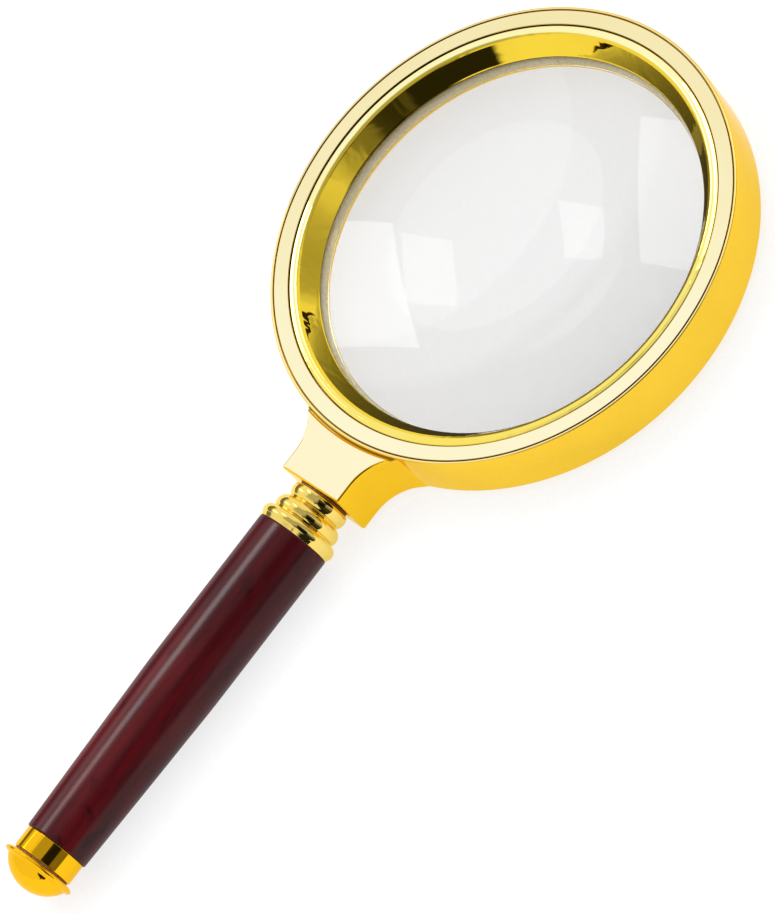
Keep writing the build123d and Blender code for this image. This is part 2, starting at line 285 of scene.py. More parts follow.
@dataclass(frozen=True)
class Hexagon:
    """The six flats of a nut, in millimetres across; nearer the middle than its web it is round."""

    flats: float
    web: float = 0.4

    def shape(self, radius: float, along: float, angle: float) -> float:
        """Moves a point of the round blank onto the nearest flat.

        Args:
            radius: the blank's radius, in millimetres.
            along: place along the axis, which makes no difference.
            angle: turn about the axis.

        Returns:
            The radius on the flats, or as it was.
        """
        if radius < self.flats / 2 - self.web:
            return radius
        sector = (angle + math.pi / 6) % (math.pi / 3) - math.pi / 6
        return min(self.flats / 2 / math.cos(sector), radius)


def crown_circle(first: Point, middle: Point, last: Point, steps: int = 12) -> list[Corner]:
    """Rows along the circle through three points of a section.

    Args:
        first: where the rows start, in millimetres.
        middle: a point that they pass.
        last: where they end.
        steps: how many spans.

    Returns:
        The corners along the circle.
    """
    (x1, y1), (x2, y2), (x3, y3) = first, middle, last
    double = 2 * (x1 * (y2 - y3) + x2 * (y3 - y1) + x3 * (y1 - y2))
    s1, s2, s3 = x1**2 + y1**2, x2**2 + y2**2, x3**2 + y3**2
    centre_x = (s1 * (y2 - y3) + s2 * (y3 - y1) + s3 * (y1 - y2)) / double
    centre_y = (s1 * (x3 - x2) + s2 * (x1 - x3) + s3 * (x2 - x1)) / double
    radius = math.dist((centre_x, centre_y), first)
    start = math.degrees(math.atan2(y1 - centre_y, x1 - centre_x))
    end = math.degrees(math.atan2(y3 - centre_y, x3 - centre_x))
    return arc((centre_x, centre_y), radius, start, end, steps)


def mesh_object(
    name: str,
    builder: bmesh.types.BMesh,
    finish: bpy.types.Material,
) -> bpy.types.Object:
    """Turns finished mesh work into a smooth shaded piece.

    Args:
        name: the piece's name.
        builder: the mesh work, which is freed.
        finish: the piece's material.

    Returns:
        The new object, linked to the scene.
    """
    bmesh.ops.recalc_face_normals(builder, faces=builder.faces)
    mesh = bpy.data.meshes.new(name)
    builder.to_mesh(mesh)
    builder.free()
    mesh.polygons.foreach_set("use_smooth", [True] * len(mesh.polygons))
    mesh.materials.append(finish)
    piece = bpy.data.objects.new(name, mesh)
    bpy.context.scene.collection.objects.link(piece)
    return piece


@dataclass
class Lathe:
    """Turns sections into meshes about one of the two axes."""

    datum: Datum
    axis: Axis
    segments: int

    def turn(
        self,
        name: str,
        section: Section,
        finish: bpy.types.Material,
        shapes: Sequence[Shape] = (),
    ) -> bpy.types.Object:
        """Turns one section into a piece.

        Args:
            name: the piece's name.
            section: its outline.
            finish: its material.
            shapes: functions that move points off the plain turned surface, such as a thread.

        Returns:
            The piece as a new object.
        """
        builder = bmesh.new()
        rows = [self._row(builder, point, shapes) for point in section.points()]
        pairs = list(zip(rows, rows[1:]))
        if section.closed:
            pairs.append((rows[-1], rows[0]))
        for near, far in pairs:
            self.bridge(builder, near, far)
        return mesh_object(name, builder, finish)

    def _row(
        self,
        builder: bmesh.types.BMesh,
        point: Point,
        shapes: Sequence[Shape],
    ) -> list[Any]:
        """Makes one ring of vertices, or a single one on the axis.

        Args:
            builder: the mesh work.
            point: the section's point as (radius, along).
            shapes: functions that move the ring's points.

        Returns:
            The vertices.
        """
        radius, along = point
        if radius < TINY:
            return [builder.verts.new(self.datum.place(self.axis, 0.0, along, 0.0))]
        ring = []
        for index in range(self.segments):
            angle = math.tau * index / self.segments
            moved = radius
            for shape in shapes:
                moved = shape(moved, along, angle)
            ring.append(builder.verts.new(self.datum.place(self.axis, moved, along, angle)))
        return ring

    @staticmethod
    def bridge(builder: bmesh.types.BMesh, near: list[Any], far: list[Any]) -> None:
        """Joins two rings with faces, or a ring with a vertex on the axis.

        Args:
            builder: the mesh work.
            near: one ring's vertices.
            far: the other's.
        """
        count = max(len(near), len(far))
        for index in range(count):
            following = (index + 1) % count
            if len(near) == 1:
                builder.faces.new((near[0], far[index], far[following]))
            elif len(far) == 1:
                builder.faces.new((near[index], near[following], far[0]))
            else:
                builder.faces.new((near[index], near[following], far[following], far[index]))


# Shader arithmetic --------------------------------------------------------------------------


class Value:
    """A number in a shader, which takes part in Python arithmetic."""

    def __init__(self, graph: "Graph", socket: Any) -> None:
        """Wraps an output socket of a graph."""
        self.graph = graph
        self.socket = socket

    def _math(self, operation: str, *others: Any, first: Any = None) -> "Value":
        """Adds a Math node on this value and the others."""
        start = self if first is None else first
        return self.graph.maths(operation, start, *others)

    def __add__(self, other: Any) -> "Value":
        """Adds."""
        return self._math("ADD", other)

    __radd__ = __add__

    def __mul__(self, other: Any) -> "Value":
        """Multiplies."""
        return self._math("MULTIPLY", other)

    __rmul__ = __mul__

    def __sub__(self, other: Any) -> "Value":
        """Subtracts."""
        return self._math("SUBTRACT", other)

    def __rsub__(self, other: Any) -> "Value":
        """Subtracts this value from a number."""
        return self._math("SUBTRACT", self, first=other)

    def __truediv__(self, other: Any) -> "Value":
        """Divides."""
        return self._math("DIVIDE", other)

    def __rtruediv__(self, other: Any) -> "Value":
        """Divides a number by this value."""
        return self._math("DIVIDE", self, first=other)

    def __abs__(self) -> "Value":
        """Drops the sign."""
        return self._math("ABSOLUTE")

    def at_least(self, other: Any) -> "Value":
        """Keeps the larger of two values."""
        return self._math("MAXIMUM", other)

    def step(self, low: float, high: float) -> "Value":
        """Eases from 0 at low to 1 at high.

        Args:
            low: the value that gives 0.
            high: the value that gives 1; it may be the smaller one, which turns the step round.

        Returns:
            The eased value.
        """
        node = self.graph.node(
            "ShaderNodeMapRange",
            {"interpolation_type": "SMOOTHSTEP"},
            {"Value": self, "From Min": min(low, high), "From Max": max(low, high)},
        )
        eased = Value(self.graph, node.outputs["Result"])
        return eased if low < high else 1 - eased


class Graph:
    """A shader's node tree, with one method for any node and shorthands for the common ones."""

    def __init__(self, tree: bpy.types.NodeTree) -> None:
        """Starts on an emptied node tree."""
        self.tree = tree
        tree.nodes.clear()

    def node(
        self,
        kind: str,
        settings: dict[str, Any] | None = None,
        inputs: dict[Any, Any] | None = None,
    ) -> Any:
        """Adds any node.

        Args:
            kind: the node's type.
            settings: its own settings; a ramp's stops go under "stops" as (place, colour) pairs.
            inputs: a value or a link for each socket, by name or number.

        Returns:
            The new node.
        """
        made = self.tree.nodes.new(kind)
        for name, setting in (settings or {}).items():
            if name == "stops":
                self._stops(made.color_ramp, setting)
            else:
                setattr(made, name, setting)
        for name, value in (inputs or {}).items():
            self.feed(made.inputs[name], value)
        return made

    @staticmethod
    def _stops(ramp: Any, stops: Sequence[tuple[float, Sequence[float]]]) -> None:
        """Sets a colour ramp's stops.

        Args:
            ramp: the ramp.
            stops: (place, colour) pairs.
        """
        while len(ramp.elements) > 1:
            ramp.elements.remove(ramp.elements[0])
        for index, (place, colour) in enumerate(stops):
            element = ramp.elements[0] if index == 0 else ramp.elements.new(place)
            element.position = place
            element.color = (*colour, 1.0)

    def feed(self, socket: Any, value: Any) -> None:
        """Links a wrapped value or a socket to an input, or sets the input to a constant.

        Args:
            socket: the input.
            value: what it gets.
        """
        if isinstance(value, Value):
            self.tree.links.new(value.socket, socket)
        elif isinstance(value, bpy.types.NodeSocket):
            self.tree.links.new(value, socket)
        else:
            socket.default_value = value

    def maths(self, operation: str, *values: Any) -> Value:
        """Adds a Math node.

        Args:
            operation: what it does.
            values: its operands, as wrapped values or numbers.

        Returns:
            The result.
        """
        inputs = dict(enumerate(values))
        return Value(self, self.node("ShaderNodeMath", {"operation": operation}, inputs).outputs[0])

    def vector(self, operation: str, *values: Any) -> Any:
        """Adds a Vector Math node.

        Args:
            operation: what it does.
            values: its operands, as sockets or three numbers.

        Returns:
            The vector socket, or a wrapped value where the operation gives a number.
        """
        inputs = dict(enumerate(values))
        made = self.node("ShaderNodeVectorMath", {"operation": operation}, inputs)
        if operation in ("DOT_PRODUCT", "LENGTH", "DISTANCE"):
            return Value(self, made.outputs["Value"])
        return made.outputs["Vector"]

    def stretched(self, position: Any, scale: Sequence[float]) -> Any:
        """Scales a position by its own amount along each axis."""
        return self.vector("MULTIPLY", position, tuple(scale))

    def noise(
        self,
        position: Any,
        scale: float,
        detail: float = 2.0,
        distortion: float = 0.0,
    ) -> Value:
        """Adds soft noise.

        Args:
            position: the coordinate socket.
            scale: how many features there are in a metre.
            detail: how many finer layers it has.
            distortion: how far it swirls.

        Returns:
            The noise, mostly between 0.3 and 0.7.
        """
        inputs = {"Vector": position, "Scale": scale, "Detail": detail, "Distortion": distortion}
        return Value(self, self.node("ShaderNodeTexNoise", {}, inputs).outputs[0])

    def blend(self, share: Any, low: Any, high: Any) -> Any:
        """Mixes two colours.

        Args:
            share: 0 gives the first, 1 the second.
            low: the first colour or its socket.
            high: the second.

        Returns:
            The mixed colour's socket.
        """
        settings = {"data_type": "RGBA", "clamp_factor": True}
        made = self.node("ShaderNodeMix", settings, {0: share})
        for index, colour in ((6, low), (7, high)):
            whole = colour if isinstance(colour, bpy.types.NodeSocket) else (*colour, 1.0)
            self.feed(made.inputs[index], whole)
        return made.outputs[2]

    def bump(self, height: Value, strength: float, distance: float) -> Any:
        """Adds a bump.

        Args:
            height: the height pattern.
            strength: how much of it shows.
            distance: how high a full step is, in metres.

        Returns:
            The normal's socket.
        """
        inputs = {"Height": height, "Strength": strength, "Distance": distance}
        return self.node("ShaderNodeBump", {}, inputs).outputs["Normal"]


def new_material(name: str) -> tuple[bpy.types.Material, Graph]:
    """Makes an empty node material.

    Args:
        name: the material's name.

    Returns:
        The material and its graph.
    """
    material = bpy.data.materials.new(name)
    material.use_nodes = True
    return material, Graph(material.node_tree)


# Finishes -----------------------------------------------------------------------------------

Colour = tuple[float, float, float]


@dataclass(frozen=True)
class Pattern:
    """A noise pattern over a surface, with where it starts and ends and how it is drawn out."""

    scale: float
    detail: float = 3.0
    swirl: float = 0.0
    low: float = 0.3
    high: float = 0.7
    drawn: Colour = (1.0, 1.0, 1.0)

    def raw(self, graph: Graph, position: Any) -> Value:
        """Returns the soft noise itself."""
        place = graph.stretched(position, self.drawn)
        return graph.noise(place, self.scale, self.detail, self.swirl)

    def mask(self, graph: Graph, position: Any) -> Value:
        """Returns the pattern eased from 0 to 1."""
        return self.raw(graph, position).step(self.low, self.high)


@dataclass(frozen=True)
class GoldPlate:
    """Mirror-bright gold plating, with a painted highlight (a paler tone) on upward-facing flats,
    painted light and shade across those flats, and painted shade on groove floors.
    """

    name: str
    rich: Colour
    pale: Colour
    # Colour of the flats on their darker side: painted shade, blended with random cloud tone.
    shaded_flat_tone: Colour
    # Direction, span and weight of a painted gradient of light and shade across the flats.
    light_slope: Colour = (7.0, -11.0, 0.0)
    light_slope_span: Point = (-1.3, 0.0)
    light_slope_share: float = 0.8
    # Faces that point up past this threshold take the pale colour, a painted highlight for the
    # bright reflection that flat faces catch.
    flat_from: float = 0.985
    flat_ease: float = 0.8
    deepening: float = 0.93
    # Painted shade colour for groove floors.
    groove_shade: Colour = (0.26, 0.18, 0.05)
    groove_top: float = -1.0
    groove_ease: float = 0.0002
    roughness: float = 0.03
    smudge: float = 0.015
    scratch: float = 0.009
    edge: Colour = (1.0, 0.9, 0.6)
    wave: float = 0.00002
    waves: Pattern = Pattern(170.0, 2.0, 0.8)
    clouds: Pattern = Pattern(45.0)
    handling: Pattern = Pattern(190.0, 4.0, 0.6, low=0.48, high=0.75)
    scratches: Pattern = Pattern(2400.0, 2.0, drawn=(1.0, 1.0, 6.0))

    def make(self) -> bpy.types.Material:
        """Makes the finish.

        Returns:
            Its material.
        """
        material, graph = new_material(self.name)
        coordinates = graph.node("ShaderNodeTexCoord")
        position = coordinates.outputs["Object"]
        facing = graph.vector("DOT_PRODUCT", coordinates.outputs["Normal"], UP)
        flat_end = self.flat_from + (1 - self.flat_from) * self.flat_ease
        # Painted highlight: faces pointing up in object space get the pale colour in place of the
        # reflection that flat faces catch.
        painted_flat_sheen = facing.step(self.flat_from, flat_end)
        cloud = self.clouds.mask(graph, position)
        # Painted light and shade: a straight gradient through the object makes the flats paler on
        # one side and darker on the other, mixed with some random cloud tone.
        light_slope = graph.vector("DOT_PRODUCT", position, self.light_slope).step(*self.light_slope_span)
        deep = graph.blend(cloud, self.rich, tuple(c * self.deepening for c in self.rich))
        lit_side_share = light_slope * self.light_slope_share + cloud * (1 - self.light_slope_share)
        colour = graph.blend(painted_flat_sheen, deep, graph.blend(lit_side_share, self.shaded_flat_tone, self.pale))
        height = graph.vector("DOT_PRODUCT", position, UP)
        # Painted shade: upward-facing faces sunk below groove_top take the dark brown colour in
        # place of the shade on groove floors.
        sunk = height.step(self.groove_top, self.groove_top - self.groove_ease)
        smudges = self.handling.mask(graph, position) * self.smudge
        scratches = self.scratches.raw(graph, position) * self.scratch
        shader = graph.node(
            "ShaderNodeBsdfPrincipled",
            {},
            {
                "Base Color": graph.blend(painted_flat_sheen * sunk, colour, self.groove_shade),
                "Metallic": 1.0,
                "Roughness": self.roughness + smudges + scratches,
                "Specular Tint": (*self.edge, 1.0),
                "Normal": graph.bump(self.waves.raw(graph, position), 1.0, self.wave),
            },
        )
        graph.node("ShaderNodeOutputMaterial", {}, {"Surface": shader.outputs[0]})
        return material


@dataclass(frozen=True)
class ClearLens:
    """Polished clear glass that casts only a light shadow."""

    name: str = "clear_lens"
    tint: Colour = (0.80, 0.80, 0.80)
    shade: Colour = (0.90, 0.905, 0.91)
    refraction: float = 1.49
    gloss: float = 1.0
    haze: float = 0.003
    hazing: Pattern = Pattern(90.0, 4.0, 0.4, low=0.55, high=0.9)

    def make(self) -> bpy.types.Material:
        """Makes the finish.

        Returns:
            Its material.
        """
        material, graph = new_material(self.name)
        position = graph.node("ShaderNodeTexCoord").outputs["Object"]
        glass = graph.node(
            "ShaderNodeBsdfPrincipled",
            {},
            {
                "Base Color": (*self.tint, 1.0),
                "Roughness": self.hazing.mask(graph, position) * self.haze,
                "Transmission Weight": 1.0,
                "IOR": self.refraction,
                "Specular IOR Level": self.gloss,
            },
        )
        clear = graph.node("ShaderNodeBsdfTransparent", {}, {"Color": (*self.shade, 1.0)})
        path = graph.node("ShaderNodeLightPath")
        mixed = graph.node(
            "ShaderNodeMixShader",
            {},
            {0: path.outputs["Is Shadow Ray"], 1: glass.outputs[0], 2: clear.outputs[0]},
        )
        graph.node("ShaderNodeOutputMaterial", {}, {"Surface": mixed.outputs[0]})
        return material


@dataclass(frozen=True)
class LacqueredWood:
    """Dark red-brown wood with streaks and blotches under gloss lacquer."""

    name: str = "lacquered_wood"
    deep: Colour = (0.012, 0.0016, 0.0034)
    body: Colour = (0.045, 0.0016, 0.0036)
    warm: Colour = (0.080, 0.0028, 0.0046)
    roughness: float = 0.42
    pore_roughness: float = 0.2
    streak_share: float = 0.45
    blotch_share: float = 0.75
    pore_share: float = 0.35
    coat: float = 0.42
    coat_roughness: float = 0.22
    coat_refraction: float = 1.52
    streak_height: float = 0.4
    grain_strength: float = 0.05
    grain_height: float = 0.00005
    banding: Pattern = Pattern(95.0, 3.0, 0.8, low=0.36, high=0.66, drawn=(1.0, 0.22, 1.0))
    streaking: Pattern = Pattern(420.0, 5.0, 0.5, low=0.34, high=0.68, drawn=(1.0, 0.09, 1.0))
    blotching: Pattern = Pattern(130.0, 4.0, 1.4, low=0.57, high=0.71, drawn=(1.0, 0.5, 1.0))
    poring: Pattern = Pattern(2600.0, 2.0, low=0.62, high=0.78, drawn=(1.0, 0.05, 1.0))

    def make(self) -> bpy.types.Material:
        """Makes the finish.

        Returns:
            Its material.
        """
        material, graph = new_material(self.name)
        position = graph.node("ShaderNodeTexCoord").outputs["Object"]
        streaks = self.streaking.mask(graph, position)
        pores = self.poring.mask(graph, position)
        colour = graph.blend(self.banding.mask(graph, position), self.body, self.warm)
        colour = graph.blend(streaks * self.streak_share, colour, self.deep)
        blotches = self.blotching.mask(graph, position)
        colour = graph.blend(blotches * self.blotch_share, colour, self.deep)
        colour = graph.blend(pores * self.pore_share, colour, self.deep)
        grain = pores + streaks * self.streak_height
        shader = graph.node(
            "ShaderNodeBsdfPrincipled",
            {},
            {
                "Base Color": colour,
                "Roughness": self.roughness + pores * self.pore_roughness,
                "Specular IOR Level": 0.0,
                "Coat Weight": self.coat,
                "Coat Roughness": self.coat_roughness,
                "Coat IOR": self.coat_refraction,
                "Normal": graph.bump(grain, self.grain_strength, self.grain_height),
            },
        )
        graph.node("ShaderNodeOutputMaterial", {}, {"Surface": shader.outputs[0]})
        return material


@dataclass(frozen=True)
class ZincSteel:
    """Zinc plated steel with a fine turned grain."""

    name: str = "zinc_steel"
    bright: Colour = (0.62, 0.63, 0.65)
    dull: Colour = (0.44, 0.45, 0.46)
    roughness: float = 0.24
    grain_roughness: float = 0.16
    grain_strength: float = 0.12
    grain_height: float = 0.00003
    graining: Pattern = Pattern(2200.0, 3.0, drawn=(0.4, 5.0, 0.4))
    blooming: Pattern = Pattern(420.0, 3.0, 0.5, low=0.4, high=0.7)

    def make(self) -> bpy.types.Material:
        """Makes the finish.

        Returns:
            Its material.
        """
        material, graph = new_material(self.name)
        position = graph.node("ShaderNodeTexCoord").outputs["Object"]
        grain = self.graining.mask(graph, position)
        bloom = self.blooming.mask(graph, position)
        shader = graph.node(
            "ShaderNodeBsdfPrincipled",
            {},
            {
                "Base Color": graph.blend(bloom, self.bright, self.dull),
                "Metallic": 1.0,
                "Roughness": self.roughness + grain * self.grain_roughness,
                "Normal": graph.bump(grain, self.grain_strength, self.grain_height),
            },
        )
        graph.node("ShaderNodeOutputMaterial", {}, {"Surface": shader.outputs[0]})
        return material


@dataclass(frozen=True)
class MattRing:
    """A soft or fibrous ring with a fine grain, for seals and slip washers."""

    name: str
    light: Colour
    dark: Colour
    roughness: float = 0.6
    fibre_roughness: float = 0.15
    fibre_strength: float = 0.2
    fibre_height: float = 0.00004
    fibres: Pattern = Pattern(1500.0, 4.0, 0.8, low=0.35, high=0.68)

    def make(self) -> bpy.types.Material:
        """Makes the finish.

        Returns:
            Its material.
        """
        material, graph = new_material(self.name)
        position = graph.node("ShaderNodeTexCoord").outputs["Object"]
        fibre = self.fibres.mask(graph, position)
        shader = graph.node(
            "ShaderNodeBsdfPrincipled",
            {},
            {
                "Base Color": graph.blend(fibre, self.dark, self.light),
                "Roughness": self.roughness + fibre * self.fibre_roughness,
                "Normal": graph.bump(fibre, self.fibre_strength, self.fibre_height),
            },
        )
        graph.node("ShaderNodeOutputMaterial", {}, {"Surface": shader.outputs[0]})
        return material


@dataclass(frozen=True)
class Finishes:
    """Every finish on the magnifier, made once and shared by its pieces."""

    rim_gold: bpy.types.Material
    face_gold: bpy.types.Material
    neck_gold: bpy.types.Material
    ring_gold: bpy.types.Material
    bead_gold: bpy.types.Material
    cap_gold: bpy.types.Material
    lens: bpy.types.Material
    wood: bpy.types.Material
    steel: bpy.types.Material
    seal: bpy.types.Material
    slip: bpy.types.Material

    @classmethod
    def make(cls, front_z: float) -> "Finishes":
        """Makes the whole set.

        Args:
            front_z: height of the rim's front plane, in metres, which the grooves are sunk below.

        Returns:
            The finishes.
        """
        return cls(
            rim_gold=GoldPlate(
                "rim_gold",
                rich=(0.94, 0.60, 0.045),
                pale=(0.98, 0.84, 0.44),
                shaded_flat_tone=(0.90, 0.74, 0.34),
            ).make(),
            # The dark rich tone on the band's rounded edges and gap walls is painted shade for the
            # dark lines along its edges.
            face_gold=GoldPlate(
                "face_gold",
                rich=(0.50, 0.38, 0.12),
                pale=(1.0, 0.94, 0.65),
                shaded_flat_tone=(0.91, 0.79, 0.42),
                # Painted shade on the floor of the gap round the band starts below this height.
                groove_top=front_z - 0.0003,
            ).make(),
            neck_gold=GoldPlate(
                "neck_gold",
                rich=(0.95, 0.57, 0.020),
                pale=(1.0, 0.92, 0.62),
                shaded_flat_tone=(0.97, 0.86, 0.52),
                # Painted shade on the floor of the groove round the neck starts below this height.
                groove_top=front_z - 0.0008,
                wave=0.00004,
            ).make(),
            # The wider pale band over the lip crown is a painted highlight line, and the gradient
            # set below decides which side of the lip is painted paler.
            ring_gold=GoldPlate(
                "ring_gold",
                rich=(0.95, 0.68, 0.05),
                pale=(1.0, 0.95, 0.52),
                shaded_flat_tone=(0.96, 0.77, 0.13),
                light_slope=(-12.0, 10.0, 0.0),
                light_slope_span=(-0.1, 1.2),
                flat_from=0.93,
                wave=0.00016,
                waves=Pattern(110.0, 2.0, 0.8),
            ).make(),
            bead_gold=GoldPlate(
                "bead_gold",
                rich=BEAD_YELLOW,
                pale=BEAD_YELLOW,
                shaded_flat_tone=BEAD_YELLOW,
                wave=0.00008,
            ).make(),
            cap_gold=GoldPlate(
                "cap_gold",
                rich=CAP_YELLOW,
                pale=CAP_YELLOW,
                shaded_flat_tone=CAP_YELLOW,
                wave=0.00006,
                waves=Pattern(520.0, 2.0, 0.8, drawn=(1.0, 0.08, 1.0)),
            ).make(),
            lens=ClearLens().make(),
            wood=LacqueredWood().make(),
            steel=ZincSteel().make(),
            seal=MattRing("seal_ivory", (0.95, 0.86, 0.60), (0.82, 0.70, 0.42)).make(),
            slip=MattRing("slip_fibre", (0.30, 0.20, 0.075), (0.16, 0.095, 0.03), 0.5).make(),
        )


def fit(piece: bpy.types.Object, node: str, body: str) -> bpy.types.Object:
    """Puts a visible piece in the place of its CAD node.

    Args:
        piece: the new piece.
        node: the CAD node that it stands for.
        body: the CAD body that it moves with.

    Returns:
        The same piece.
    """
    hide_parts(node)
    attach(piece, body)
    LOG.info("%s: %d faces on body %s", piece.name, len(piece.data.polygons), body)
    return piece


# Sub-assemblies -----------------------------------------------------------------------------

THREAD_ROWS = 8  # rows of faces to one turn of a thread
ROD_PITCH = 0.8  # the tie rod's thread and its mates, in millimetres
ROD_THREAD_DEPTH = 0.3
ROD_CLEARANCE = 0.05


@dataclass
class Rim:
    """The rim with its face ring, retaining ring and seals; depths run back from the front."""

    lathe: Lathe
    finishes: Finishes
    outer: float = 54.5
    outer_back: float = 54.15
    depth: float = 14.5
    back_round: float = 2.0
    shoulder: float = 0.5
    face_outer: float = 53.9
    face_inner: float = 50.27
    face_thick: float = 1.5
    gap: float = 0.28
    gap_depth: float = 0.8
    flange: float = 50.12
    flange_back: float = 1.9
    lip_edge: float = 0.22
    lip_round: float = 0.4
    lip_crown: float = 0.08
    lip_inner: float = 47.7
    lip_inner_depth: float = 0.5
    throat: float = 45.1
    nose: float = 44.85
    ring_back: float = 4.75
    thread: float = 48.6
    thread_gap: float = 0.05
    thread_pitch: float = 0.75
    thread_depth: float = 0.32
    lens_bore: float = 46.15
    washer_step: float = 5.1
    rear_lip: float = 43.6
    rear_lip_thick: float = 1.0
    rear_flare: float = 47.2
    seat_thick: float = 0.8

    def build(self, lens: "Lens") -> None:
        """Builds every piece of the rim round its lens.

        Args:
            lens: the lens, which says where its seat is.
        """
        self.build_rim_ring(lens.edge_back + self.seat_thick)
        self.build_face_ring()
        self.build_retaining_ring()
        self.build_seals(lens)

    def build_rim_ring(self, seat: float) -> None:
        """Builds the outer ring with its stepped and threaded inside.

        Args:
            seat: depth of the shelf behind the lens.
        """
        bore = self.thread + self.thread_gap
        recess = self.flange + self.thread_gap
        floor = self.flange_back + 0.1
        corners = [
            Corner(recess, self.face_thick, 0.1),
            Corner(self.face_outer, self.face_thick, 0.1),
            Corner(self.face_outer, 0.0, 0.08),
            Corner(self.outer, 0.0, self.shoulder),
            Corner(self.outer_back, self.depth, self.back_round),
            Corner(self.rear_flare, self.depth, 0.3),
            Corner(self.rear_lip, seat + self.rear_lip_thick, 0.25),
            Corner(self.rear_lip, seat, 0.15),
            Corner(self.lens_bore, seat, 0.1),
            Corner(self.lens_bore, self.washer_step, 0.1),
            *run((bore, self.washer_step), (bore, floor), self.thread_pitch / THREAD_ROWS),
            Corner(recess, floor, 0.08),
        ]
        cut = Thread(
            self.thread_pitch,
            self.thread_depth,
            floor,
            self.washer_step,
            bore,
            inside=True,
        )
        section = Section(corners, steps=8)
        piece = self.lathe.turn("rim_ring_turned", section, self.finishes.rim_gold, [cut.shape])
        fit(piece, "rim_ring", "rim")

    def build_face_ring(self) -> None:
        """Builds the flat band, with the groove that shows round its outside."""
        band = self.face_outer - self.gap
        corners = [
            Corner(self.face_inner, 0.0, 0.14),
            Corner(band, 0.0, 0.12),
            Corner(band, self.gap_depth, 0.05),
            Corner(self.face_outer, self.gap_depth, 0.03),
            Corner(self.face_outer, self.face_thick, 0.05),
            Corner(self.face_inner, self.face_thick, 0.05),
        ]
        section = Section(corners, steps=6, hold=0.04)
        piece = self.lathe.turn("face_ring_turned", section, self.finishes.face_gold)
        fit(piece, "face_ring", "rim")

    def build_retaining_ring(self) -> None:
        """Builds the threaded ring: rounded lip, conical wall and thin nose on the lens."""
        crest = crown_circle(
            (self.flange - self.lip_round, self.lip_edge),
            ((self.flange + self.lip_inner) / 2, self.lip_crown),
            (self.lip_inner, self.lip_inner_depth),
        )
        thread_row = self.thread_pitch / THREAD_ROWS
        corners = [
            Corner(self.flange, self.lip_edge + 0.02, self.lip_round),
            *crest[1:-1],
            Corner(self.lip_inner, self.lip_inner_depth, 0.3),
            Corner(self.throat, self.ring_back - 0.45, 0.3),
            Corner(self.nose, self.ring_back - 0.2, 0.12),
            Corner(self.nose + 0.2, self.ring_back, 0.1),
            *run((self.thread, self.ring_back), (self.thread, self.flange_back), thread_row),
            Corner(self.flange, self.flange_back, 0.08),
        ]
        cut = Thread(
            self.thread_pitch,
            self.thread_depth,
            self.flange_back,
            self.ring_back,
            self.thread,
        )
        section = Section(corners, steps=8)
        finish = self.finishes.ring_gold
        piece = self.lathe.turn("retaining_ring_turned", section, finish, [cut.shape])
        fit(piece, "retaining_ring", "retainer")

    def build_seals(self, lens: "Lens") -> None:
        """Builds the soft seat behind the lens and the slip washer in front of it.

        Args:
            lens: the lens between them.
        """
        seat = lens.edge_back + self.seat_thick
        inner = self.rear_lip + 0.3
        corners = [
            Corner(inner, seat, 0.06),
            Corner(lens.radius, seat, 0.06),
            Corner(lens.radius, lens.edge_back + 0.01, 0.06),
            Corner(inner, lens.bottom - lens.sag(inner) + 0.01, 0.06),
        ]
        piece = self.lathe.turn("lens_seat_ring_moulded", Section(corners), self.finishes.seal)
        fit(piece, "lens_seat_ring", "rim")
        low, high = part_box("lens_washer")
        outer = (high.x - low.x) / 2 / MM
        inner = self.throat - 0.1
        top = (self.lathe.datum.front_z - high.z) / MM
        bottom = (self.lathe.datum.front_z - low.z) / MM
        corners = [
            Corner(inner, top, 0.05),
            Corner(outer, top, 0.05),
            Corner(outer, bottom, 0.05),
            Corner(inner, bottom, 0.05),
        ]
        piece = self.lathe.turn("lens_washer_cut", Section(corners, hold=0.03), self.finishes.slip)
        fit(piece, "lens_washer", "lens_slip")


@dataclass
class Lens:
    """The biconvex lens: two equal spherical faces and a ground edge."""

    lathe: Lathe
    finishes: Finishes
    radius: float = 46.0
    curve: float = 232.3
    edge: float = 2.6
    top: float = 0.7
    bevel: float = 0.25
    rows: int = 56

    @property
    def edge_front(self) -> float:
        """Depth of the edge's front corner."""
        return self.top + self.sag(self.radius)

    @property
    def edge_back(self) -> float:
        """Depth of the edge's rear corner."""
        return self.edge_front + self.edge

    @property
    def bottom(self) -> float:
        """Depth of the rear face's lowest point."""
        return self.edge_back + self.sag(self.radius)

    def sag(self, radius: float) -> float:
        """Returns how far a face has fallen away from its highest point at a radius."""
        return self.curve - math.sqrt(self.curve**2 - radius**2)

    def build(self) -> None:
        """Builds the lens."""
        limit = self.radius - self.bevel
        radii = [limit * step / self.rows for step in range(self.rows + 1)]
        front = [Corner(radius, self.top + self.sag(radius)) for radius in radii]
        back = [Corner(row.radius, self.bottom - self.sag(row.radius)) for row in reversed(front)]
        wall = [
            Corner(self.radius, self.edge_front + self.bevel, 0.1),
            Corner(self.radius, self.edge_back - self.bevel, 0.1),
        ]
        section = Section([*front, *wall, *back], closed=False)
        piece = self.lathe.turn("lens_polished", section, self.finishes.lens)
        fit(piece, "lens", "rim")


